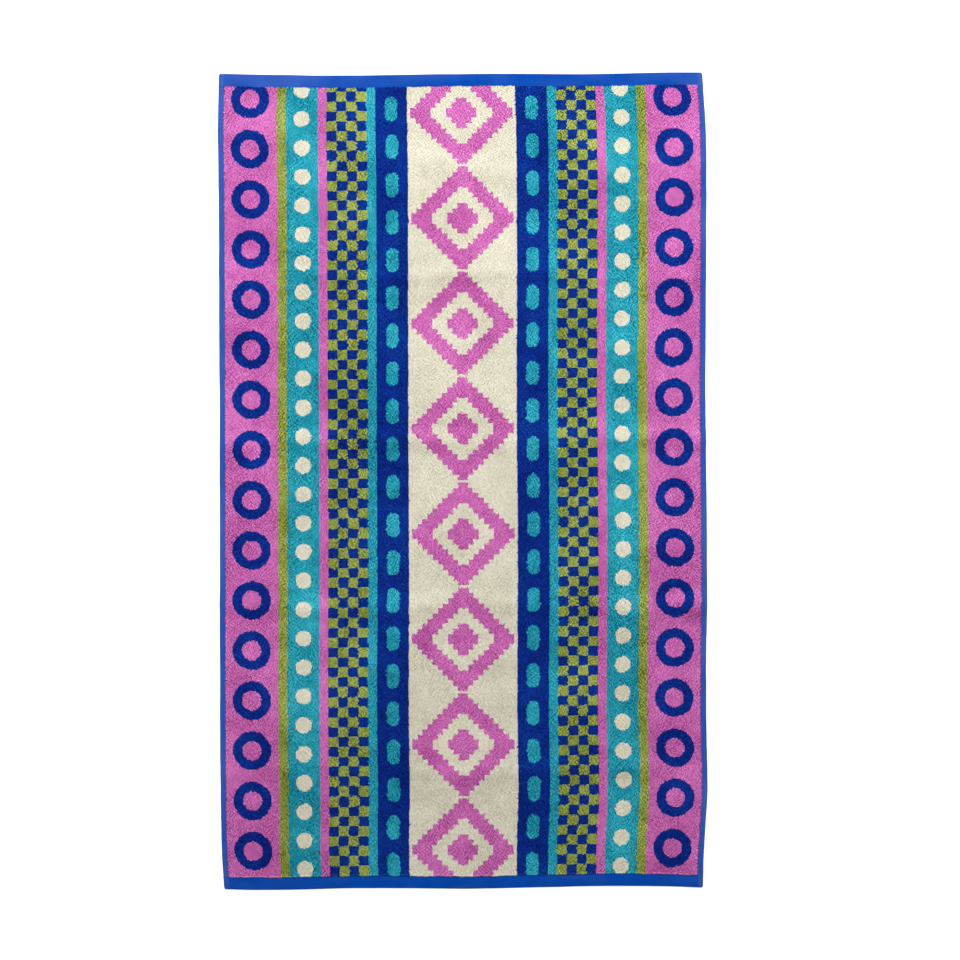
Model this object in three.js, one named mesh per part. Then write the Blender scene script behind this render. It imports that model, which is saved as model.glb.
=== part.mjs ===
import * as THREE from "three";

// A bath towel of looped terry, laid out flat, in millimetres with +Z up and its length along Y.
// It lies on z = 0, and the origin is under the middle of the box around it.

// The cloth as it is cut and hemmed
const cutWidth = 762;
const cutLength = 1270;
const endHem = 19;
const sideHem = 7;
const hemThickness = 2.4;
const pileThickness = 4.6;
const pileShoulder = 3;
const foldRound = 0.9;
const cornerRound = 1.8;

// How finely the sheet is divided between its hems and creases
const columnPitch = 31;
const rowPitch = 36;

// Where the two long edges lie: how far across, at each distance along the towel
const leftEdge = [
  { along: -635, across: -371.6 },
  { along: -585, across: -375.0 },
  { along: -460, across: -377.4 },
  { along: -148, across: -378.5 },
  { along: 164, across: -379.1 },
  { along: 444, across: -380.5 },
  { along: 570, across: -381.6 },
  { along: 635, across: -380.0 },
];
const rightEdge = [
  { along: -635, across: 374.7 },
  { along: -585, across: 376.0 },
  { along: -492, across: 381.7 },
  { along: -367, across: 379.9 },
  { along: -148, across: 381.3 },
  { along: 164, across: 378.8 },
  { along: 351, across: 379.7 },
  { along: 569, across: 378.0 },
  { along: 635, across: 373.5 },
];

// Where the two hemmed ends lie: how far along, at each distance across the towel
const nearEnd = [
  { across: -381, along: -636.6 },
  { across: -315, along: -637.6 },
  { across: -175, along: -634.8 },
  { across: 28, along: -635.4 },
  { across: 184, along: -632.0 },
  { across: 262, along: -630.9 },
  { across: 381, along: -633.6 },
];
const farEnd = [
  { across: -381, along: 635.6 },
  { across: -253, along: 632.9 },
  { across: 59, along: 635.5 },
  { across: 215, along: 635.1 },
  { across: 340, along: 637.6 },
  { across: 381, along: 637.3 },
];

// Soft ridges that folding left straight across the towel, from the left edge to the right one
const foldCreases = [
  { left: 323, right: 318, height: 1.2 },
  { left: 60, right: 64, height: 1.0 },
  { left: -197, right: -193, height: 1.2 },
  { left: -452, right: -450, height: 0.7 },
];
const foldHalfWidth = 18;
const foldRowShares = [-1, -0.5, 0, 0.5, 1];

// A broader one that runs at a slant near the lower right
const slantCrease = { x0: 60, y0: -276, x1: 330, y1: -200, height: 0.9, halfWidth: 40 };

// Places where the border doesn't lie quite flat
const lifts = [
  { x: 378, y: -590, height: 1.6, reach: 70 },
  { x: -378, y: -470, height: 1.0, reach: 90 },
  { x: -381, y: 250, height: 0.8, reach: 110 },
  { x: 380, y: 420, height: 1.1, reach: 90 },
  { x: 250, y: -632, height: 1.2, reach: 80 },
  { x: -250, y: 633, height: 1.0, reach: 90 },
];

// A smooth curve through a table's rows, read at one distance
function curveThrough(table, from, to) {
  const curve = new THREE.CubicInterpolant(
    table.map((row) => row[from]),
    table.map((row) => row[to]),
    1,
    new Float32Array(1),
  );
  return (distance) => curve.evaluate(distance)[0];
}

const leftAcross = curveThrough(leftEdge, "along", "across");
const rightAcross = curveThrough(rightEdge, "along", "across");
const nearAlong = curveThrough(nearEnd, "across", "along");
const farAlong = curveThrough(farEnd, "across", "along");

// Rises from 0 to 1 and falls back to 0 as a soft hump, flat at both feet
function hump(share) {
  return Math.abs(share) < 1 ? 0.5 + 0.5 * Math.cos(Math.PI * share) : 0;
}

const creases = foldCreases.map((fold) => ({
  x0: -cutWidth / 2,
  y0: fold.left,
  x1: cutWidth / 2,
  y1: fold.right,
  height: fold.height,
  halfWidth: foldHalfWidth,
}));
creases.push(slantCrease);

// How far the cloth stands off the surface at a point
function liftAt(x, y) {
  let lift = 0;
  for (const c of creases) {
    const line = new THREE.Line3(new THREE.Vector3(c.x0, c.y0), new THREE.Vector3(c.x1, c.y1));
    const nearest = line.closestPointToPoint(new THREE.Vector3(x, y), true, new THREE.Vector3());
    lift += c.height * hump(Math.hypot(nearest.x - x, nearest.y - y) / c.halfWidth);
  }
  for (const l of lifts) {
    lift += l.height * hump(Math.hypot(l.x - x, l.y - y) / l.reach);
  }
  return lift;
}

// Distances from one edge to the other: both sides of each hem's step, with even divisions between the marks
function stations(length, hem, marks, pitch) {
  const shoulder = hem + pileShoulder;
  const fixed = [0, hem, shoulder, ...marks, length - shoulder, length - hem, length];
  const found = [];
  fixed.sort((a, b) => a - b).forEach((start, k) => {
    found.push(start);
    const gap = (fixed[k + 1] ?? start) - start;
    const parts = Math.round(gap / pitch);
    for (let n = 1; n < parts; n++) found.push(start + (gap * n) / parts);
  });
  return found;
}

// The towel is a box of cells, two deep at its rim, moved into the sheet's shape
function towelGeometry() {
  const marks = foldCreases.flatMap((fold) =>
    foldRowShares.map((share) => cutLength / 2 + (fold.left + fold.right) / 2 + share * foldHalfWidth),
  );
  const across = stations(cutWidth, sideHem, [], columnPitch);
  const along = stations(cutLength, endHem, marks, rowPitch);
  const columns = across.length - 1;
  const rows = along.length - 1;
  const geometry = new THREE.BoxGeometry(1, 1, 1, columns, rows, 2);
  const position = geometry.getAttribute("position");

  for (let k = 0; k < position.count; k++) {
    const i = Math.round((position.getX(k) + 0.5) * columns);
    const j = Math.round((position.getY(k) + 0.5) * rows);
    const level = position.getZ(k) + 0.5;
    const fromLeft = across[i];
    const fromNear = along[j];

    // The outline, from the cut rectangle to the edges as they lie
    const flatX = fromLeft - cutWidth / 2;
    const flatY = fromNear - cutLength / 2;
    let x = THREE.MathUtils.lerp(leftAcross(flatY), rightAcross(flatY), fromLeft / cutWidth);
    let y = THREE.MathUtils.lerp(nearAlong(flatX), farAlong(flatX), fromNear / cutLength);

    // The rim is a rounded fold, and its corners are blunt
    const atSide = i === 0 || i === columns;
    const atEnd = j === 0 || j === rows;
    const roundIn = level === 0.5 ? 0 : foldRound;
    const cornerIn = atSide && atEnd ? cornerRound : 0;
    if (atSide) x -= Math.sign(flatX) * (roundIn + cornerIn);
    if (atEnd) y -= Math.sign(flatY) * (roundIn + cornerIn);

    // The pile stands up from the inner edge of the hems
    const pastSideHem = Math.min(fromLeft, cutWidth - fromLeft) - sideHem;
    const pastEndHem = Math.min(fromNear, cutLength - fromNear) - endHem;
    const pile = THREE.MathUtils.smoothstep(Math.min(pastSideHem, pastEndHem), 0, pileShoulder);
    const thickness = THREE.MathUtils.lerp(hemThickness, pileThickness, pile);
    position.setXYZ(k, x, y, liftAt(x, y) + thickness * level);
  }

  geometry.computeBoundingBox();
  const middle = geometry.boundingBox.getCenter(new THREE.Vector3());
  geometry.translate(-middle.x, -middle.y, 0);
  geometry.computeVertexNormals();
  return geometry;
}

const terry = new THREE.MeshStandardMaterial({ color: 0x3c4f9e, roughness: 0.95, metalness: 0 });
const towel = new THREE.Mesh(towelGeometry(), terry);
towel.name = "towel";

const bathTowel = new THREE.Group();
bathTowel.add(towel);

export default bathTowel;
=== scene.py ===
import bpy
import numpy as np
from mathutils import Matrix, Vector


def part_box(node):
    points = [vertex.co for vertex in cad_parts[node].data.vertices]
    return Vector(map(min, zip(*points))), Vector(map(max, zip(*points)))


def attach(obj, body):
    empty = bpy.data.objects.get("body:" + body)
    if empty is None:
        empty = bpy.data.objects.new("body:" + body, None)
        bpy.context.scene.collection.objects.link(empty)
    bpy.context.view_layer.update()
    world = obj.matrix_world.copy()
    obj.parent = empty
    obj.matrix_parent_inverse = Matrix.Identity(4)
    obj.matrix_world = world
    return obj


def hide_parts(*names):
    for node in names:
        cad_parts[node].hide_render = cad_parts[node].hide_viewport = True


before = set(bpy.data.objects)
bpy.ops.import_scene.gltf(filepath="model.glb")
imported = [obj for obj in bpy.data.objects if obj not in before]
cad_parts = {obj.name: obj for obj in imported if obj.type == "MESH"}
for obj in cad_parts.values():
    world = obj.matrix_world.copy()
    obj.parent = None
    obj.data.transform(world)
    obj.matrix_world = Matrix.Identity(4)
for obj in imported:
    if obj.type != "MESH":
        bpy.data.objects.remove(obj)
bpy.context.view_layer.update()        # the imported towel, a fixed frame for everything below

# A bath towel of looped terry, laid out flat on a pale floor.
# Lengths are in millimetres until putInMesh turns them into metres. "Across" runs along X and
# "along" along Y, and both are counted from the middle of the flat cloth.

towel = {
    "cutWidth": 762.0,
    "cutLength": 1270.0,
    "endHem": 19.0,           # three quarters of an inch
    "sideHem": 8.2,           # of which the nearest loops hide the last millimetre
    "clothMiddle": 2.25,      # height of the woven ground between its two piles
    "hemMiddle": 1.15,        # and where the hems bring it down to the floor
    "ease": 5.0,              # over which they do
}

# The edges as they lie: (how far along, how far across) for the sides, and (across, along) for the ends
edges = {
    "left": [(-635, -371.6), (-585, -375.0), (-460, -377.4), (-148, -378.5), (164, -379.1),
             (444, -380.5), (570, -381.6), (635, -380.0)],
    "right": [(-635, 374.7), (-585, 376.0), (-492, 381.7), (-367, 379.9), (-148, 381.3), (164, 378.8),
              (351, 379.7), (569, 378.0), (635, 373.5)],
    "near": [(-381, -636.6), (-315, -637.6), (-175, -634.8), (28, -635.4), (184, -632.0), (262, -630.9),
             (381, -633.6)],
    "far": [(-381, 635.6), (-253, 632.9), (59, 635.5), (215, 635.1), (340, 637.6), (381, 637.3)],
}

# Soft ridges left by folding and handling, each from (x, y) to (x, y) with its height and half width
creases = [
    ((-400, 323), (400, 318), 1.2, 18),
    ((-400, 312), (400, 342), 2.2, 62),
    ((-400, 60), (400, 64), 2.4, 26),
    ((-400, -197), (400, -193), 2.2, 26),
    ((-400, -452), (400, -450), 1.2, 22),
    ((40, -282), (400, -182), 1.9, 36),
    ((-400, 548), (150, 464), 1.7, 34),
]
unevenCrease = {
    "wander": 4.5,           # how far a ridge strays from its line
    "wave": 70.0,            # how slowly it does so, across and along
    "waveAlong": 90.0,
    "swell": 0.35,           # how much it grows and fades
    "swellRate": 0.8,
}
# Places where the border stands off the floor: (x, y), height and reach
lifts = [
    ((378, -590), 1.6, 70),
    ((-378, -470), 1.0, 90),
    ((-381, 250), 0.8, 110),
    ((380, 420), 1.1, 90),
    ((250, -632), 1.2, 80),
    ((-250, 633), 1.0, 90),
]


def easeIn(share):
    # 0 below 0, 1 above 1, and 3s^2 - 2s^3 between
    s = np.clip(share, 0, 1)
    return s * s * (3 - 2 * s)


def curveThrough(points):
    # Cubic pieces through the points, with each point's slope taken from its neighbours
    at, value = np.array(points, float).T
    slope = np.gradient(value, at)

    def curve(distance):
        k = np.clip(np.searchsorted(at, distance) - 1, 0, len(at) - 2)
        gap = at[k + 1] - at[k]
        t = np.clip((distance - at[k]) / gap, 0, 1)
        start = (1 + 2 * t) * (1 - t) ** 2 * value[k] + t * (1 - t) ** 2 * gap * slope[k]
        end = t * t * (3 - 2 * t) * value[k + 1] - t * t * (1 - t) * gap * slope[k + 1]
        return start + end

    return curve


edgeCurve = {side: curveThrough(points) for side, points in edges.items()}


def outlineMiddle():
    # The middle of the box around the four edges, less the middle of the frame's box
    along = np.linspace(-towel["cutLength"] / 2, towel["cutLength"] / 2, 800)
    across = np.linspace(-towel["cutWidth"] / 2, towel["cutWidth"] / 2, 800)
    low, high = (np.array(corner) * 1000 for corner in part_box("towel"))
    x = (edgeCurve["left"](along).min() + edgeCurve["right"](along).max() - low[0] - high[0]) / 2
    y = (edgeCurve["near"](across).min() + edgeCurve["far"](across).max() - low[1] - high[1]) / 2
    return x, y


middleX, middleY = outlineMiddle()


def lieOut(across, along):
    # A point of the flat cloth goes to the same share of the way between the edges as they lie
    u = across / towel["cutWidth"] + 0.5
    v = along / towel["cutLength"] + 0.5
    x = (1 - u) * edgeCurve["left"](along) + u * edgeCurve["right"](along)
    y = (1 - v) * edgeCurve["near"](across) + v * edgeCurve["far"](across)
    return x - middleX, y - middleY


def hump(share):
    # A raised cosine: 1 in the middle and flat at both feet
    return np.where(np.abs(share) < 1, 0.5 + 0.5 * np.cos(np.pi * share), 0)


def liftAt(x, y):
    # How far the cloth stands off the floor: a hump across each crease and around each lift
    height = np.zeros_like(x)
    waves = x / unevenCrease["wave"]
    bent = y + unevenCrease["wander"] * np.sin(waves + y / unevenCrease["waveAlong"])
    for (x0, y0), (x1, y1), rise, halfWidth in creases:
        length = np.hypot(x1 - x0, y1 - y0)
        share = np.clip(((x - x0) * (x1 - x0) + (bent - y0) * (y1 - y0)) / length ** 2, 0, 1)
        distance = np.hypot(x - x0 - share * (x1 - x0), bent - y0 - share * (y1 - y0))
        swell = 1 + unevenCrease["swell"] * np.sin(unevenCrease["swellRate"] * waves + y0)
        height += rise * swell * hump(distance / halfWidth)
    for (x0, y0), rise, reach in lifts:
        height += rise * hump(np.hypot(x - x0, y - y0) / reach)
    return height


def softNoise(x, y, size, seed):
    # Random heights on a square lattice of this size, eased from one lattice point to the next
    dice = np.random.default_rng(seed)
    u, v = (x - x.min()) / size, (y - y.min()) / size
    i, j = u.astype(int), v.astype(int)
    heights = dice.uniform(-1, 1, (i.max() + 2, j.max() + 2))
    s, t = easeIn(u - i), easeIn(v - j)
    low = (1 - s) * heights[i, j] + s * heights[i + 1, j]
    high = (1 - s) * heights[i, j + 1] + s * heights[i + 1, j + 1]
    return (1 - t) * low + t * high


def layeredNoise(x, y, layers, seed):
    # The sum of soft noises, each layer given by its size and its strength
    return sum(strength * softNoise(x, y, size, seed + n) for n, (size, strength) in enumerate(layers))


def cappedNormal(dice, shape, most):
    # Random numbers around 0 in a bell curve, kept within this distance of it
    return dice.normal(size=shape).clip(-most, most)


def putInMesh(name, points, faces, places, pointValues={}, faceValues={}):
    # faces is a list of arrays, one for each number of corners, and places has a map place for each corner
    mesh = bpy.data.meshes.new(name)
    corners = np.concatenate([f.ravel() for f in faces])
    sizes = np.concatenate([np.full(len(f), f.shape[1]) for f in faces])
    mesh.vertices.add(len(points))
    mesh.vertices.foreach_set("co", (points / 1000).astype(np.float32).ravel())
    mesh.loops.add(len(corners))
    mesh.loops.foreach_set("vertex_index", corners.astype(np.int32))
    mesh.polygons.add(len(sizes))
    mesh.polygons.foreach_set("loop_start", (np.cumsum(sizes) - sizes).astype(np.int32))
    mesh.polygons.foreach_set("use_smooth", np.ones(len(sizes), bool))
    mesh.update(calc_edges=True)
    mesh.uv_layers.new(name="OFBake")
    mesh.uv_layers["OFBake"].data.foreach_set("uv", places.astype(np.float32).ravel())
    for domain, values in (("POINT", pointValues), ("FACE", faceValues)):
        for key, value in values.items():
            mesh.attributes.new(key, "FLOAT", domain).data.foreach_set("value", value.astype(np.float32))
    mesh.validate()
    piece = bpy.data.objects.new(name, mesh)
    bpy.context.scene.collection.objects.link(piece)
    return piece


def sweptShell(name, rings, strips, tips=None, pointValues={}, faceValues={}):
    # rings[row, k] is a closed profile carried along the rows, turning so that its faces point outwards.
    # Each cell between two rows is a four-cornered face. One with loop tips at opposite corners is split
    # between its other two, so that both halves climb to a loop. A flat face closes each end.
    # The map lays the rows in this many strips side by side, with the two end faces in a band above them.
    rows, around = rings.shape[:2]
    r, k = (g.ravel() for g in np.mgrid[0:rows - 1, 0:around])
    cornerRows = np.stack([r, r, r + 1, r + 1], 1)
    cornerColumns = np.stack([k, k + 1, k + 1, k], 1)
    quads = cornerRows * around + cornerColumns % around
    tip = np.zeros(quads.shape, bool) if tips is None else tips.ravel()[quads]
    firstTips, otherTips = tip[:, 0] & tip[:, 2], tip[:, 1] & tip[:, 3]
    plain = ~(firstTips | otherTips)

    # Which corners of its cell each face takes
    picks = [(plain, [0, 1, 2, 3]), (firstTips, [0, 1, 3]), (firstTips, [1, 2, 3]),
             (otherTips, [0, 1, 2]), (otherTips, [0, 2, 3])]
    faces, places, owners = [], [], []
    perStrip = -(-(rows - 1) // strips)
    capBand, margin = 0.012, 0.003
    for chosen, take in picks:
        if not chosen.any():
            continue
        faces.append(quads[chosen][:, take])
        owners.append(quads[chosen][:, 0])
        strip = (r[chosen] // perStrip)[:, None]
        u = (strip + margin + (1 - 2 * margin) * cornerColumns[chosen][:, take] / around) / strips
        v = (cornerRows[chosen][:, take] - strip * perStrip) / perStrip
        places.append(np.stack([u, margin + v * (1 - capBand - 2 * margin)], 2).reshape(-1, 2))
    ends = (np.arange(around)[::-1], (rows - 1) * around + np.arange(around))
    flat = rings.reshape(-1, 3)
    for n, cap in enumerate(ends):
        side = 0 if np.ptp(flat[cap, 0]) > np.ptp(flat[cap, 1]) else 1
        wide = (flat[cap, side] - flat[cap, side].min()) / np.ptp(flat[cap, side])
        high = (flat[cap, 2] - flat[cap, 2].min()) / np.ptp(flat[cap, 2])
        faces.append(cap[None, :])
        owners.append(cap[:1])
        u = (n + 0.02 + 0.96 * wide) / max(strips, 2)
        places.append(np.stack([u, 1 - capBand * (0.9 - 0.8 * high)], 1))
    owners = np.concatenate(owners)
    return putInMesh(
        name, flat, faces, np.concatenate(places),
        {key: value.ravel() for key, value in pointValues.items()},
        {key: value.ravel()[owners] for key, value in faceValues.items()},
    )


def linearColour(hexCode):
    # An sRGB hex colour as the linear one that shaders use
    share = np.array([int(hexCode[n:n + 2], 16) for n in (1, 3, 5)]) / 255
    linear = np.where(share <= 0.04045, share / 12.92, ((share + 0.055) / 1.055) ** 2.4)
    return (*linear.tolist(), 1.0)


def addNode(tree, kind, links={}, **settings):
    # links gives each input, by name or number, the socket that feeds it or the value it holds
    node = tree.nodes.new(kind)
    for key, value in settings.items():
        setattr(node, key, value)
    for key, value in links.items():
        if isinstance(value, bpy.types.NodeSocket):
            tree.links.new(value, node.inputs[key])
        else:
            node.inputs[key].default_value = value
    return node


def mathNode(tree, operation, *values, **settings):
    # The result of this operation on sockets or numbers
    node = addNode(tree, "ShaderNodeMath", dict(enumerate(values)), operation=operation, **settings)
    return node.outputs[0]


print("tools ready")

# The dyed yarns of the pile, and how much the tone of each changes from loop to loop
yarns = {
    "pink": {"colour": "#d570bc", "speck": 1.0},
    "blue": {"colour": "#042e8f", "speck": 0.88},
    "teal": {"colour": "#25a3b8", "speck": 1.28},
    "cream": {"colour": "#e8e3ce", "speck": 0.63},
    "olive": {"colour": "#95a443", "speck": 1.42},
}
yarnNumber = {colour: n for n, colour in enumerate(yarns)}
hemColour = "#0048ab"


# Each motif says which places are in it, from how far sideways and lengthways in its repeat they are
def ringMotif(a, b, band):
    # Between the inner and the outer radius
    distance = np.hypot(a, b)
    return (distance < band["outer"]) & (distance > band["inner"])


def dotMotif(a, b, band):
    # Within the radius
    return np.hypot(a, b) < band["radius"]


def checkMotif(a, b, band):
    # Where the numbers of the square sideways and lengthways add up to an even one
    return (np.floor(a / band["side"]) + np.floor(b / band["side"])) % 2 < 1


def pillMotif(a, b, band):
    # Within the radius of a short upright line
    return np.hypot(a, np.maximum(np.abs(b) - band["reach"], 0)) < band["radius"]


def lozengeMotif(a, b, band):
    # Steps counted sideways and lengthways add up to the ring that a place is in
    ring = np.floor(np.abs(a) / band["step"]) + np.floor(np.abs(b) / band["step"])
    return (ring < band["core"]) | (ring >= band["gapEnds"]) & (ring < band["edge"])


# Lengthwise bands from each side to the middle, the same on both sides. Each has two yarns, and where
# one makes the loops of the face, the other makes those of the back. A new piece of pile starts where
# "piece" names it.
bands = [
    {"piece": "ringPile", "width": 84, "ground": "pink", "motif": "blue", "shape": ringMotif,
     "pitch": 78, "start": 11, "outer": 30, "inner": 15},
    {"width": 14, "ground": "olive", "motif": "blue"},
    {"piece": "dotPile", "width": 50, "ground": "teal", "motif": "cream", "shape": dotMotif,
     "pitch": 45, "start": 4, "radius": 12.5},
    {"width": 14, "ground": "pink", "motif": "teal"},
    {"piece": "checkPile", "width": 62, "ground": "olive", "motif": "blue", "shape": checkMotif,
     "pitch": 31, "start": 5, "side": 15.5},
    {"width": 14, "ground": "teal", "motif": "blue"},
    {"piece": "pillPile", "width": 50, "ground": "blue", "motif": "teal", "shape": pillMotif,
     "pitch": 59, "start": 21, "radius": 10, "reach": 9},
    {"piece": "lozengePile", "width": 86, "ground": "cream", "motif": "pink", "shape": lozengeMotif,
     "pitch": 164, "start": 0, "step": 8, "core": 3, "gapEnds": 6, "edge": 10},
]


def yarnsAt(across, along):
    # The yarn of the face and that of the back for loops at these places
    fromSide = towel["cutWidth"] / 2 - towel["sideHem"] - np.abs(across)
    starts = np.cumsum([0] + [band["width"] for band in bands[:-1]])
    which = np.clip(np.searchsorted(starts, fromSide, side="right") - 1, 0, len(bands) - 1)
    face, back = np.zeros(across.shape), np.zeros(across.shape)
    for n, band in enumerate(bands):
        here = which == n
        isMotif = np.zeros(here.sum(), bool)
        if "shape" in band:
            last = n == len(bands) - 1
            a = across[here] if last else fromSide[here] - starts[n] - band["width"] / 2
            b = (along[here] - band["start"]) % band["pitch"]
            if band["shape"] is not checkMotif:
                b = b - band["pitch"] / 2
            isMotif = band["shape"](a, b, band)
        ground, motif = yarnNumber[band["ground"]], yarnNumber[band["motif"]]
        face[here] = np.where(isMotif, motif, ground)
        back[here] = np.where(isMotif, ground, motif)
    return face, back


pile = {
    "facePitch": 1.7,        # between crossings of the weave, every other one of which has a loop
    "backPitch": 4.0,        # the back lies on the floor, so its loops are drawn coarser
    "height": 2.25,          # of a loop's tip over the middle of the cloth
    "dip": 1.4,              # from the tips down to the crossings between them
    "least": 0.5,            # which keeps every crossing clear of the cloth
    "rootPitch": 38.0,       # between the points that the flat side of a piece is drawn through
    "unevenTips": 0.3,
    "unevenDips": 0.25,
    "swells": [(24, 0.12), (9, 0.1)],        # soft unevenness of the height: sizes and heights
    "lean": 0.36,            # how far tips stray to any side
    "dipLean": 0.4,          # and the part of it that crossings do
    "drift": (0.45, 0.8),    # how far whole rows and columns of loops stray across and along
    "driftSize": 9,
    "nap": 0.22,             # and to the near end, the way the pile lies
    "shoulder": 3.0,         # over which the pile rises beside a hem
    "rimHeight": 0.4,        # the part of its height that it starts with
    "spill": 1.5,            # how far its first loops lean out over the hem
    "unevenSpill": (0.3, 0.15),              # for tips and for crossings
    "spillReach": 6.0,       # and how far in others follow them
    "tuckUnder": 1.5,        # how far in its last crossings are, hidden under those loops
    "rimRise": 0.1,          # of those crossings over the flat side
    "backRoot": -0.3,        # height of the back's flat side over the face's
    "stray": 0.3,            # how far the edge of a colour wanders
    "paintedSlopeLight": 0.35,         # painted light and shade with the cloth's slope: lighter where it faces the lamp's end, darker where it faces away
    "speck": 0.215,          # change of tone from loop to loop
    "speckReach": 1.7,       # how many times that a loop's own tone may be off the middle
    "clumps": [(18, 0.12), (80, 0.12)],      # sizes, and how much more of it there is in some places
    "nextColumn": -0.5,      # the part of it that the next loop takes across the towel
    "nextRow": -0.42,        # and along it
    "patches": [(12, 0.34), (31, 0.38), (70, 0.44)],       # sizes, and changes of tone beside a speck's
    "lighter": 0.7,          # light loops stand out less
    "darker": 1.1,           # than dark ones
    "paintedEdgeLight": 0.25,        # painted light on the open loops by a hem, which catch light from the side and lie less in shade
    "edgeReach": 3.0,
    "paintedRimLight": 0.35,         # and painted light on the outer sides of the last ones at the near end, which face away from the lamp
    "shadeRange": (0.35, 1.45),
}


def clothHeight(fromHem):
    # Of the middle of the woven ground, which comes down to the floor beside a hem
    return towel["hemMiddle"] + (towel["clothMiddle"] - towel["hemMiddle"]) * easeIn(fromHem / towel["ease"])


def loopField(pitch, way, seed):
    # Crossings of the weave over the whole towel, with a loop at every other one. Rows run towards the far
    # end for the face, where way is 1, and from it for the back, where way is -1, so that faces point out.
    dice = np.random.default_rng(seed)
    halfAcross = towel["cutWidth"] / 2 - towel["sideHem"]
    halfAlong = towel["cutLength"] / 2 - towel["endHem"]
    columns, rows = 2 * round(halfAcross / pitch), 2 * round(halfAlong / pitch)
    across, along = np.meshgrid(np.linspace(-halfAcross, halfAcross, columns + 1),
                                np.linspace(-halfAlong, halfAlong, rows + 1) * way)
    shape = across.shape
    tips = np.indices(shape).sum(0) % 2 == 0

    # Tips stand high and crossings low, all a little uneven, with a rounded shoulder beside each hem
    fromSide, fromEnd = halfAcross - np.abs(across), halfAlong - np.abs(along)
    fromHem = np.minimum(fromSide, fromEnd)
    full = pile["rimHeight"] + (1 - pile["rimHeight"]) * easeIn(fromHem / pile["shoulder"])
    soft = layeredNoise(across, along, pile["swells"], seed + 1)
    uneven = np.where(tips, pile["unevenTips"], pile["unevenDips"]) * cappedNormal(dice, shape, 2)
    height = (pile["height"] - np.where(tips, 0, pile["dip"]) + soft + uneven) * full
    height = np.maximum(height, pile["least"])

    grain = pitch / pile["facePitch"]
    sway = np.where(tips, pile["lean"], pile["dipLean"] * pile["lean"]) * grain
    x, y = lieOut(across, along)
    lift = liftAt(x, y)
    slope = liftAt(x, y + 1) - lift
    rim = fromHem < 0.1
    free = np.where(rim, 0, 1)        # the last crossings keep to their line
    x = x + free * pile["drift"][0] * softNoise(across, along, pile["driftSize"], seed + 6)
    y = y + free * pile["drift"][1] * softNoise(across, along, pile["driftSize"], seed + 7)
    x = x + free * sway * cappedNormal(dice, shape, 1.6)
    y = y + free * (sway * cappedNormal(dice, shape, 1.6) - np.where(tips, pile["nap"], 0))

    # By a hem the loops lean outwards, each as far as it likes, and the last crossings are tucked in
    # under them
    out = pile["spill"] * (1 + np.where(tips, *pile["unevenSpill"]) * cappedNormal(dice, shape, 2))
    out = np.where(rim, -pile["tuckUnder"], out) * grain
    x = x + out * np.sign(across) * (1 - easeIn(fromSide / pile["spillReach"] / grain))
    y = y + out * np.sign(along) * (1 - easeIn(fromEnd / pile["spillReach"] / grain))

    # The yarn and the tone of each cell, found at its middle
    stepAcross, stepAlong = across[0, 1] - across[0, 0], along[1, 0] - along[0, 0]
    face, back = yarnsAt(across + stepAcross / 2 + pile["stray"] * dice.normal(size=shape),
                         along + stepAlong / 2 + pile["stray"] * dice.normal(size=shape))
    yarn = face if way > 0 else back
    own = dice.uniform(-pile["speckReach"], pile["speckReach"], shape)
    tone = own + pile["nextColumn"] * np.roll(own, 1, 1)
    tone = tone + pile["nextRow"] * np.roll(tone, 1, 0)
    tone = tone * (1 + layeredNoise(across, along, pile["clumps"], seed + 8))
    for size, part in pile["patches"]:
        tone = tone + part * softNoise(across, along, size, seed + size)
    tone = tone * np.where(tone > 0, pile["lighter"], pile["darker"])
    speck = np.array([one["speck"] for one in yarns.values()])[yarn.astype(int)] * pile["speck"]
    # Painted light and shade follow the cloth's slope, as the lamp beyond the far end would give them
    shade = 1 + speck * tone - pile["paintedSlopeLight"] * slope
    # Painted light on the loops by each hem
    shade = shade + pile["paintedEdgeLight"] * (1 - easeIn(fromHem / pile["edgeReach"]))
    # and on the outer sides of the last row at the near end, which face away from the lamp and would lie in
    # shade
    lastRow = along < -halfAlong + 1.2 * pitch
    shade = shade + pile["paintedRimLight"] * lastRow
    middle = towel["clothMiddle"] if way > 0 else clothHeight(fromHem)
    root = towel["clothMiddle"] + (0 if way > 0 else pile["backRoot"])
    z = np.where(rim, root + pile["rimRise"] * way, np.maximum(middle + way * height, 0))
    return {
        "x": x, "y": y, "z": z + lift, "root": root + lift, "rootColumns": pile["rootPitch"] / pitch,
        "rise": tips.astype(float), "yarn": yarn, "shade": shade.clip(*pile["shadeRange"]),
    }


def pilePiece(name, field, first, last, strips):
    # The loops between two columns, closed by short walls and a coarse flat side that lies in the cloth
    cut = {key: value[:, first:last + 1] for key, value in field.items() if key != "rootColumns"}
    count = last - first + 1
    rooted = np.linspace(count - 1, 0, max(2, round(count / field["rootColumns"]) + 1)).round().astype(int)
    loops = np.stack([cut["x"], cut["y"], cut["z"]], 2)
    roots = np.stack([cut["x"], cut["y"], cut["root"]], 2)[:, rooted]
    rise = np.pad(cut["rise"], ((0, 0), (0, len(rooted))))
    cells = np.r_[0:count - 1, count - 2, np.minimum(rooted, count - 2)]
    return sweptShell(
        name, np.concatenate([loops, roots], 1), strips, rise > 0, {"rise": rise},
        {"yarn": cut["yarn"][:, cells], "shade": cut["shade"][:, cells]},
    )


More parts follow.
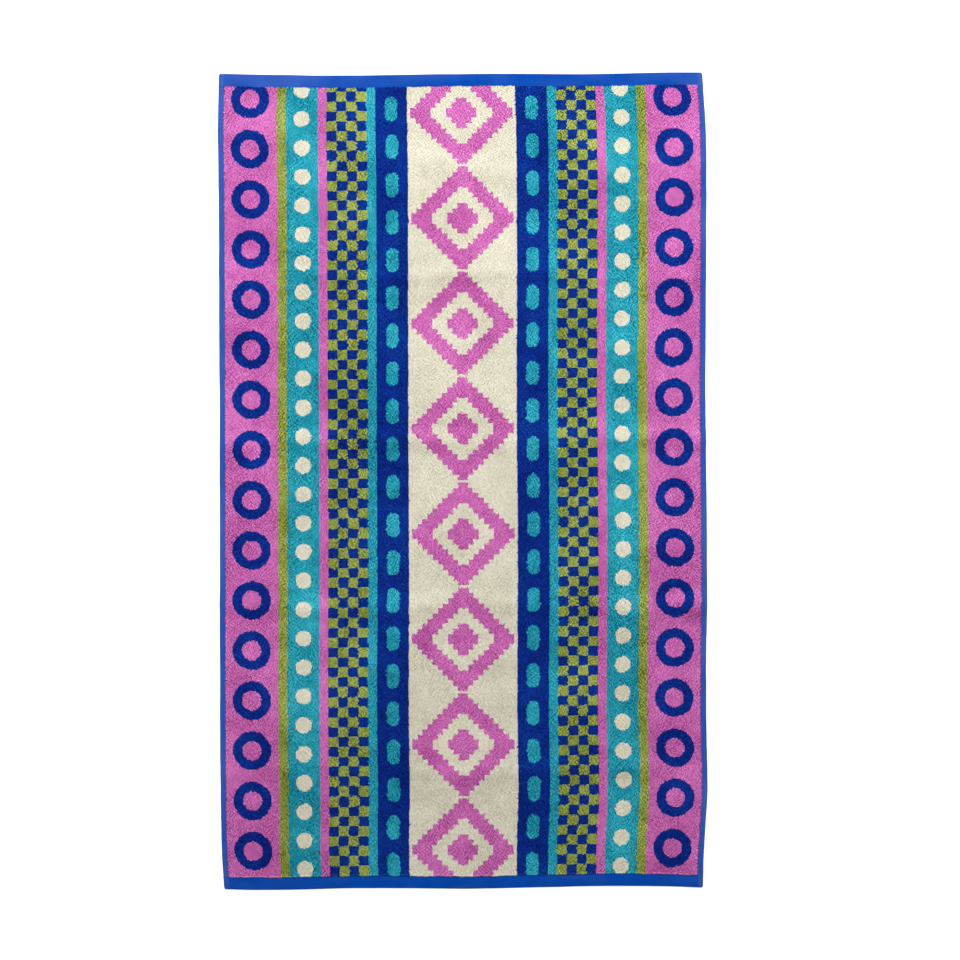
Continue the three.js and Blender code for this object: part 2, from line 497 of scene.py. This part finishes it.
def makePile():
    # The face has a piece for each group of bands on either side, and the back is one piece
    field = loopField(pile["facePitch"], 1, 11)
    end = field["x"].shape[1] - 1
    perColumn = (towel["cutWidth"] - 2 * towel["sideHem"]) / end
    longer = towel["cutLength"] / towel["cutWidth"]
    starts = np.cumsum([0] + [band["width"] for band in bands[:-1]])
    groups = [(band["piece"], round(start / perColumn))
              for band, start in zip(bands, starts) if "piece" in band]
    pieces = []
    for n, (name, first) in enumerate(groups):
        if n == len(groups) - 1:
            pieces.append(pilePiece(name, field, first, end - first, 3))
            continue
        last = groups[n + 1][1]
        strips = max(3, round((end * longer / (last - first)) ** 0.5))
        pieces.append(pilePiece(name + "Left", field, first, last, strips))
        pieces.append(pilePiece(name + "Right", field, end - last, end - first, strips))
    backField = loopField(pile["backPitch"], -1, 12)
    pieces.append(pilePiece("backPile", backField, 0, backField["x"].shape[1] - 1, 1))
    return pieces


pilePieces = makePile()
print("pile made:", sum(len(piece.data.polygons) for piece in pilePieces), "faces")

cloth = {
    "thickness": 0.5,
    "inset": 2.6,            # its rim lies inside the folded hems
    "pitch": 9.0,
    "sideMarks": [0, 2, 5, 8, 11],           # closer divisions near its rim, at the sides
    "endMarks": [0, 8, 15, 18, 21, 24],      # and at the ends
}


def stations(half, marks, pitch):
    # Even divisions from one rim to the other, with extra ones at these distances from each rim
    inner = half - marks[-1]
    even = np.linspace(-inner, inner, round(2 * inner / pitch) + 1)
    outer = half - np.array(marks[:-1])
    return np.concatenate([-outer, even, outer[::-1]])


def makeCloth():
    # The woven ground, a thin closed sheet from hem to hem
    halfAcross, halfAlong = towel["cutWidth"] / 2 - cloth["inset"], towel["cutLength"] / 2 - cloth["inset"]
    across, along = np.meshgrid(stations(halfAcross, cloth["sideMarks"], cloth["pitch"]),
                                stations(halfAlong, cloth["endMarks"], cloth["pitch"]))
    pastHem = np.minimum(towel["cutWidth"] / 2 - np.abs(across) - towel["sideHem"],
                         towel["cutLength"] / 2 - np.abs(along) - towel["endHem"])
    x, y = lieOut(across, along)
    middle = clothHeight(pastHem) + liftAt(x, y)
    top = np.stack([x, y, middle + cloth["thickness"] / 2], 2)
    under = np.stack([x, y, middle - cloth["thickness"] / 2], 2)[:, ::-1]
    return sweptShell("groundCloth", np.concatenate([top, under], 1), 1)


endHem = {
    "width": towel["endHem"],
    "tuck": 2.2,             # under the pile's edge
    "thickness": 2.35,       # three layers of flat weave
    "foldDepth": 2.6,        # over which the fold rounds down to the floor
    "puff": 0.28,            # between the fold and the stitches
    "stitchLine": 17.4,      # from the fold
    "corner": 3.2,           # radius of the towel's blunt corners
    "cornerMarks": [0, 0.15, 0.4, 0.8, 1.3, 2, 3, 4.5, 6, 6.8, 7.4, 8.2],      # divisions from each side
    "sideRidge": 0.3,        # where the side hem lies inside it
    "ridgeWidth": 8.0,
    "ridgeSlope": 1.1,       # over which it comes up
    "wander": [(38, 0.22)],                  # of the fold's line: size and distance
    "pucker": [(6, 0.13), (17, 0.16)],       # of its top
    "paintedSheen": (0.0, 0.14),     # painted sheen on the near one and on the far one, which lies nearer the lamp, from 0 to 1
    "wearPatches": [(37, 0.22)],
    "cornerHighlight": 0.5,       # painted highlight on the raised strip where the side hem lies inside it
    "cornerPatches": [(7, 0.4)],
    "cornerEase": 2.0,       # over which that painted highlight sets in
    "pitch": 4.0,
}
sideHem = {
    "width": towel["sideHem"],
    "tuck": 1.8,
    "thickness": 2.1,
    "foldDepth": 1.8,
    "puff": 0.18,
    "stitchLine": 5.6,
    "wander": [(33, 0.25)],
    "fineWander": [(11, 0.1)],
    "pucker": [(5, 0.12), (16, 0.15)],
    # painted sheen, where light catches the fibres along its fold
    "paintedSheen": 0.75,
    "wearPatches": [(60, 0.3)],
    "insideEnd": 5.0,        # how far it runs into each end hem
    "pitch": 4.0,
}
groove = {"depth": 0.35, "halfWidth": 0.75}
puckerStart = 1.5            # from the fold, over which the puckers of a hem's top grow
taper = {                    # a hem thins out under the pile
    "depth": 0.55,
    "before": 0.4,           # from this far before its inner edge
    "reach": 2.0,
    "topShare": 0.6,         # less at the top than below
}
# Places where the end hems are painted paler, mostly painted highlights over the far end by the lamp: (x,
# y), how much, and reach
paleSpots = [
    ((-330, 628), 0.42, 330),
    ((381, 628), 0.2, 120),
    ((-381, -628), 0.1, 60),
    ((381, -628), 0.1, 70),
]


def hemProfile(hem):
    # Distances from the fold out over the top, in under the pile and back below, and which are on top.
    # They lie closer together over the fold and across the groove of the stitches.
    wide, line = hem["width"] + hem["tuck"], hem["stitchLine"]
    fold = hem["foldDepth"] * np.array([0, 0.05, 0.18, 0.4, 0.7, 1])
    flat = np.linspace(fold[-1], line - 1.6, max(2, round((line - fold[-1] - 1.6) / 2.4) + 1))[1:]
    stitched = line + np.array([-0.9, -0.5, 0, 0.5, 0.9])
    top = np.r_[fold, flat, stitched, wide - 1, wide]
    below = np.r_[wide, wide - 1.2, wide / 2, fold[:0:-1]]
    return np.r_[top, below], np.arange(len(top) + len(below)) < len(top)


def hemHeights(hem, away, onTop):
    # A rounded fold, a low puff out to the stitches, a groove along them and a taper under the pile
    half = hem["thickness"] / 2
    fold = half * np.sqrt(1 - np.clip(1 - away / hem["foldDepth"], 0, 1) ** 2)
    puff = hem["puff"] * np.sin(np.pi * np.clip(away / hem["stitchLine"], 0, 1)) ** 2
    cut = groove["depth"] * hump((away - hem["stitchLine"]) / groove["halfWidth"])
    thinner = taper["depth"] * easeIn((away - hem["width"] + taper["before"]) / taper["reach"])
    return np.where(onTop, half + fold + puff - cut - thinner * taper["topShare"], half - fold + thinner)


def makeEndHem(name, farSide, seed):
    # The profile carried across the towel, with blunt corners
    away, onTop = hemProfile(endHem)
    half = towel["cutWidth"] / 2
    across = stations(half, endHem["cornerMarks"], endHem["pitch"])
    fromCorner = (half - np.abs(across))[:, None]
    corner = endHem["corner"]
    cut = corner - np.sqrt(corner ** 2 - np.clip(corner - fromCorner, 0, None) ** 2)
    shape = (len(across), len(away))
    across, away, onTop = (np.broadcast_to(g, shape) for g in (across[:, None], away, onTop))
    wander = layeredNoise(across, away * 0, endHem["wander"], seed)
    inward = away + (cut + wander) * (1 - away / away.max())
    along = towel["cutLength"] / 2 - inward
    x, y = lieOut(across, along if farSide else -along)

    height = hemHeights(endHem, away, onTop)
    middle = endHem["thickness"] / 2
    pucker = layeredNoise(across, away, endHem["pucker"], seed + 1)
    overSideHem = endHem["sideRidge"] * easeIn((endHem["ridgeWidth"] - fromCorner) / endHem["ridgeSlope"])
    height = height + np.where(onTop, (pucker + overSideHem) * easeIn(away / puckerStart), 0)
    blunt = np.sqrt(1 - np.clip(1 - (fromCorner + 0.08) / middle, 0, 1) ** 2)
    height = middle + (height - middle) * blunt
    rings = np.stack([x, y, height + liftAt(x, y)], 2)
    # Painted sheen, stronger on the far hem near the lamp, plus random patches of wear
    sheenAndWear = endHem["paintedSheen"][int(farSide)] + layeredNoise(across, away * 2, endHem["wearPatches"], seed + 4)
    # Paler places, mostly painted highlights at the lit far end
    for (x0, y0), most, reach in paleSpots:
        sheenAndWear = sheenAndWear + most * hump(np.hypot(x - x0, y - y0) / reach)
    # A painted highlight on the raised strip where the side hem lies inside, uneven in patches
    patchy = 0.8 + layeredNoise(across, away, endHem["cornerPatches"], seed + 5)
    atCorner = easeIn((endHem["ridgeWidth"] + 0.5 - fromCorner) / endHem["cornerEase"])
    sheenAndWear = sheenAndWear + endHem["cornerHighlight"] * atCorner * patchy
    if farSide:
        rings, sheenAndWear = rings[::-1], sheenAndWear[::-1]
    return sweptShell(name, rings, 6, pointValues={"sheenAndWear": sheenAndWear})


def makeSideHem(name, rightSide, seed):
    # The profile carried along the towel, ending inside the two end hems
    away, onTop = hemProfile(sideHem)
    half = towel["cutLength"] / 2 - towel["endHem"] + sideHem["insideEnd"]
    along = np.linspace(-half, half, round(2 * half / sideHem["pitch"]) + 1)
    shape = (len(along), len(away))
    along, away, onTop = (np.broadcast_to(g, shape) for g in (along[:, None], away, onTop))
    wander = layeredNoise(along, away * 0, sideHem["wander"], seed)
    wander = wander + layeredNoise(along, away * 0, sideHem["fineWander"], seed + 3)
    across = towel["cutWidth"] / 2 - away - wander * (1 - away / away.max())
    x, y = lieOut(across if rightSide else -across, along)
    pucker = layeredNoise(along, away, sideHem["pucker"], seed + 1)
    height = hemHeights(sideHem, away, onTop) + np.where(onTop, pucker * easeIn(away / puckerStart), 0)
    rings = np.stack([x, y, height + liftAt(x, y)], 2)
    # Painted sheen along the fold, plus random patches of wear
    sheenAndWear = sideHem["paintedSheen"] + layeredNoise(along, away, sideHem["wearPatches"], seed + 4)
    if not rightSide:
        rings, sheenAndWear = rings[::-1], sheenAndWear[::-1]
    return sweptShell(name, rings, 6, pointValues={"sheenAndWear": sheenAndWear})


groundCloth = makeCloth()
hemPieces = [
    makeEndHem("endHemFar", True, 31), makeEndHem("endHemNear", False, 41),
    makeSideHem("sideHemLeft", False, 51), makeSideHem("sideHemRight", True, 61),
]
print("cloth and hems made:", sum(len(piece.data.polygons) for piece in hemPieces), "faces")

stitch = {
    "pitch": 3.2,
    "length": 2.3,
    "halfWidth": 0.28,
    "height": 0.34,
    "sunk": 0.1,             # its foot lies this deep in the cloth
    "fromSide": 4.0,         # where the line along an end hem stops
}


def makeStitches():
    # One lockstitch is a low ridge with pointed ends, repeated along each hem's groove
    along = np.array([-0.5, -0.3, -0.3, -0.3, 0.3, 0.3, 0.3, 0.5]) * stitch["length"]
    side = np.array([0, -1, 0, 1, -1, 0, 1, 0]) * stitch["halfWidth"]
    high = np.array([0, 0, 1, 0, 0, 1, 0, 0]) * stitch["height"] - stitch["sunk"]
    sides = np.array([(0, 2, 1), (0, 3, 2), (0, 1, 3), (1, 2, 5), (1, 5, 4), (2, 3, 6),
                      (2, 6, 5), (3, 1, 4), (3, 4, 6), (4, 5, 7), (5, 6, 7), (6, 4, 7)])
    halfWidth, halfLength = towel["cutWidth"] / 2, towel["cutLength"] / 2
    across, downs, heights = [], [], []
    lines = [(endHem, halfWidth - stitch["fromSide"], halfLength, True),
             (sideHem, halfLength - towel["endHem"], halfWidth, False)]
    for hem, reach, half, isEnd in lines:
        middles = np.arange(-reach, reach, stitch["pitch"])[:, None] + along[None, :]
        offset = half - hem["stitchLine"] + np.broadcast_to(side, middles.shape)
        seat = hem["thickness"] - groove["depth"] + np.broadcast_to(high, middles.shape)
        for sign in (-1, 1):
            across.append(middles if isEnd else sign * offset)
            downs.append(sign * offset if isEnd else middles)
            heights.append(seat)
    across, downs, heights = (np.concatenate(g) for g in (across, downs, heights))
    x, y = lieOut(across, downs)
    points = np.stack([x, y, heights + liftAt(x, y)], 2)
    faces = (np.arange(len(points))[:, None, None] * len(along) + sides[None]).reshape(-1, 3)
    flipped = np.cross(*(np.diff(points.reshape(-1, 3)[faces], axis=1)[:, n] for n in (0, 1)))
    outward = points.reshape(-1, 3)[faces].mean(1) - np.repeat(points.mean(1), len(sides), 0)
    wrong = (flipped * outward).sum(1) < 0
    faces[wrong] = faces[wrong][:, ::-1]
    side = int(np.ceil(np.sqrt(len(faces))))
    cell = np.stack([np.arange(len(faces)) % side, np.arange(len(faces)) // side], 1)[:, None, :]
    places = (cell + np.array([(0.1, 0.1), (0.9, 0.1), (0.5, 0.9)])[None]) / side
    return putInMesh("hemStitches", points.reshape(-1, 3), [faces], places.reshape(-1, 2))


hemStitches = makeStitches()
print("stitches made:", len(hemStitches.data.polygons), "faces")

terry = {
    "roughness": 0.95,
    "sheen": 0.04,
    "sheenRoughness": 0.5,
    "specular": 0.1,
    "dyeDepth": 0.86,        # how much fuller the colour gets as a loop gets darker
    "gapShade": 0.25,        # how much darker it is between the loops
    "gapSize": 3.1,          # of the uneven spots of shade there
    "gapRange": (0.3, 0.85),
    "gapSpots": 0.9,         # how much those spots count beside the height of the loops
    "plyWidth": 0.9,         # the twist of the yarn, drawn as coarse as the render can show
    "plyDepth": 0.5,
    "plyStrength": 0.5,
}


def yarnRamp(tree, number):
    # One flat step of colour for each yarn
    ramp = addNode(tree, "ShaderNodeValToRGB", {"Fac": number})
    ramp.color_ramp.interpolation = "CONSTANT"
    for n, one in enumerate(yarns.values()):
        steps = ramp.color_ramp.elements
        step = steps[n] if n < 2 else steps.new(n / len(yarns))
        step.position = n / len(yarns)
        step.color = linearColour(one["colour"])
    return ramp.outputs["Color"]


def makeTerry():
    # Cotton terry woven from dyed two-ply yarn: matt and grainy, with fuller colour in the darker loops
    material = bpy.data.materials.new("cotton terry, woven loops of dyed yarn")
    material.use_nodes = True
    tree = material.node_tree
    shader = tree.nodes["Principled BSDF"]
    place = addNode(tree, "ShaderNodeTexCoord").outputs["Object"]
    yarn, shade, rise = (
        addNode(tree, "ShaderNodeAttribute", attribute_name=name).outputs["Fac"]
        for name in ("yarn", "shade", "rise")
    )
    step = 1 / len(yarns)
    dyed = yarnRamp(tree, mathNode(tree, "MULTIPLY_ADD", yarn, step, step / 2))

    # Shade between the loops, in uneven spots
    spots = addNode(tree, "ShaderNodeTexNoise",
                    {"Vector": place, "Scale": 1000 / terry["gapSize"], "Detail": 2.0})
    depth = mathNode(tree, "MULTIPLY_ADD", spots.outputs["Fac"], terry["gapSpots"], rise)
    low, high = terry["gapRange"]
    light = addNode(tree, "ShaderNodeMapRange", {0: depth, 1: low, 2: high, 3: 1 - terry["gapShade"]})
    tone = mathNode(tree, "MULTIPLY", shade, light.outputs[0])

    # A darker tone takes the dye's colour to a higher power, which makes it fuller
    power = mathNode(tree, "MULTIPLY_ADD", tone, -terry["dyeDepth"], 1 + terry["dyeDepth"])
    fuller = addNode(tree, "ShaderNodeGamma", {"Color": dyed, "Gamma": power})
    toned = addNode(tree, "ShaderNodeHueSaturation", {"Value": tone, "Color": fuller.outputs[0]})
    tree.links.new(toned.outputs[0], shader.inputs["Base Color"])

    twist = addNode(tree, "ShaderNodeTexNoise",
                    {"Vector": place, "Scale": 1000 / terry["plyWidth"], "Detail": 1.0})
    bump = addNode(tree, "ShaderNodeBump", {"Height": twist.outputs["Fac"], "Strength": terry["plyStrength"],
                                            "Distance": terry["plyDepth"] / 1000})
    tree.links.new(bump.outputs[0], shader.inputs["Normal"])
    shader.inputs["Roughness"].default_value = terry["roughness"]
    shader.inputs["Sheen Weight"].default_value = terry["sheen"]
    shader.inputs["Sheen Roughness"].default_value = terry["sheenRoughness"]
    shader.inputs["Specular IOR Level"].default_value = terry["specular"]
    return material


flatWeave = {
    "roughness": 0.85,
    "specular": 0.07,
    "sheen": 0.015,
    "threadPitch": 1.1,      # drawn about twice as coarse as it is
    "threadDepth": 0.3,
    "threadStrength": 0.35,
    "unevenThreads": 0.6,
    "patchSize": 30.0,       # of slow changes of tone
    "fibreSize": 1.6,        # and of fine ones
    "toneRange": (0.86, 1.14),
    # the paler colour that painted sheen, painted highlights and wear turn it towards
    "paleColour": "#8499e0",
    "mostPale": 0.2,        # the part of it taken where painted sheen and wear are full
}


def makeFlatWeave(name, hexCode, sheen):
    # Cotton plain weave, dyed in the yarn: close threads both ways, smoother than the pile
    material = bpy.data.materials.new(name)
    material.use_nodes = True
    tree = material.node_tree
    shader = tree.nodes["Principled BSDF"]
    place = addNode(tree, "ShaderNodeTexCoord").outputs["Object"]
    patches, fibres = (
        addNode(tree, "ShaderNodeTexNoise", {"Vector": place, "Scale": 1000 / size, "Detail": detail})
        for size, detail in ((flatWeave["patchSize"], 3.0), (flatWeave["fibreSize"], 2.0))
    )
    both = mathNode(tree, "ADD", patches.outputs["Fac"], fibres.outputs["Fac"])
    dark, light = flatWeave["toneRange"]
    value = addNode(tree, "ShaderNodeMapRange", {0: both, 1: 0.6, 2: 1.4, 3: dark, 4: light})

    # Where sheen and highlights are painted, and where it is worn, the colour turns paler
    sheenAndWear = addNode(tree, "ShaderNodeAttribute", attribute_name="sheenAndWear").outputs["Fac"]
    paler = mathNode(tree, "MULTIPLY", sheenAndWear, flatWeave["mostPale"], use_clamp=True)
    colours = {6: linearColour(hexCode), 7: linearColour(flatWeave["paleColour"])}
    paleMix = addNode(tree, "ShaderNodeMix", {0: paler, **colours}, data_type="RGBA")
    tinted = addNode(tree, "ShaderNodeHueSaturation", {"Value": value.outputs[0], "Color": paleMix.outputs[2]})
    tree.links.new(tinted.outputs[0], shader.inputs["Base Color"])

    # A wave of scale 1 repeats every pi / 10 metres
    turns = np.pi / 10 / (flatWeave["threadPitch"] / 1000)
    threads = {"Vector": place, "Scale": turns, "Distortion": flatWeave["unevenThreads"]}
    warp, weft = (addNode(tree, "ShaderNodeTexWave", threads, bands_direction=way) for way in "XY")
    woven = mathNode(tree, "MULTIPLY", warp.outputs["Fac"], weft.outputs["Fac"])
    bump = addNode(tree, "ShaderNodeBump", {"Height": woven, "Strength": flatWeave["threadStrength"],
                                            "Distance": flatWeave["threadDepth"] / 1000})
    tree.links.new(bump.outputs[0], shader.inputs["Normal"])
    shader.inputs["Roughness"].default_value = flatWeave["roughness"]
    shader.inputs["Sheen Weight"].default_value = sheen
    shader.inputs["Specular IOR Level"].default_value = flatWeave["specular"]
    return material


terryMaterial = makeTerry()
hemMaterial = makeFlatWeave("cotton plain weave, yarn dyed", hemColour, flatWeave["sheen"])
threadMaterial = makeFlatWeave("polyester sewing thread", hemColour, 0.0)
for piece in pilePieces:
    piece.data.materials.append(terryMaterial)
for piece in [groundCloth, *hemPieces]:
    piece.data.materials.append(hemMaterial)
hemStitches.data.materials.append(threadMaterial)
print("materials made")

studio = {
    "frameSpan": 1497.6,     # in millimetres, what the picture's 960 pixels cover at the towel
    "towelRight": 27.0,      # the camera stands this far right of the towel's middle
    "towelUp": 1.8,
    "distance": 3400.0,
    "floorSize": 60.0,       # in metres, as far as the eye sees
    "floorHeight": -0.0002,
    "floorColour": "#f8f8f8",
    "floorGlow": 0.5,        # keeps the floor white where the light falls off
    "lampPower": 56.2,
    "lampSize": 1.5,
    "lampPlace": (0.0, 1.25, 2.2),           # in metres, as its size and aim are
    "lampAim": (0.0, 0.15, 0.0),
    "skyLevel": 0.352,
}


def makeStudio():
    # A white floor, one broad soft lamp beyond the far end and an even sky
    half = studio["floorSize"] / 2
    mesh = bpy.data.meshes.new("floor")
    low = studio["floorHeight"]
    mesh.from_pydata([(-half, -half, low), (half, -half, low), (half, half, low), (-half, half, low)],
                     [], [(0, 1, 2, 3)])
    floor = bpy.data.objects.new("floor", mesh)
    paper = bpy.data.materials.new("white studio paper")
    paper.use_nodes = True
    shader = paper.node_tree.nodes["Principled BSDF"]
    shader.inputs["Base Color"].default_value = linearColour(studio["floorColour"])
    shader.inputs["Roughness"].default_value = 1.0
    shader.inputs["Specular IOR Level"].default_value = 0.0
    shader.inputs["Emission Color"].default_value = (1, 1, 1, 1)
    shader.inputs["Emission Strength"].default_value = studio["floorGlow"]
    mesh.materials.append(paper)
    bpy.context.scene.collection.objects.link(floor)

    lamp = bpy.data.objects.new("softLamp", bpy.data.lights.new("softLamp", "AREA"))
    lamp.data.shape = "SQUARE"
    lamp.data.size = studio["lampSize"]
    lamp.data.energy = studio["lampPower"]
    lamp.location = studio["lampPlace"]
    aim = Vector(studio["lampAim"]) - lamp.location
    lamp.rotation_euler = aim.to_track_quat("-Z", "Y").to_euler()
    bpy.context.scene.collection.objects.link(lamp)

    world = bpy.data.worlds.new("studioSky")
    world.use_nodes = True
    world.node_tree.nodes["Background"].inputs["Color"].default_value = (1, 1, 1, 1)
    world.node_tree.nodes["Background"].inputs["Strength"].default_value = studio["skyLevel"]
    bpy.context.scene.world = world
    bpy.context.scene.view_settings.view_transform = "Standard"

    camera = bpy.data.objects.new("camera", bpy.data.cameras.new("camera"))
    camera.location = (studio["towelRight"] / 1000, studio["towelUp"] / 1000, studio["distance"] / 1000)
    camera.data.sensor_fit = "HORIZONTAL"
    camera.data.lens = camera.data.sensor_width * studio["distance"] / studio["frameSpan"]
    bpy.context.scene.collection.objects.link(camera)
    bpy.context.scene.camera = camera


makeStudio()
print("studio made")

towelPieces = [groundCloth, *hemPieces, hemStitches, *pilePieces]
for piece in towelPieces:
    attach(piece, "root")
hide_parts("towel")
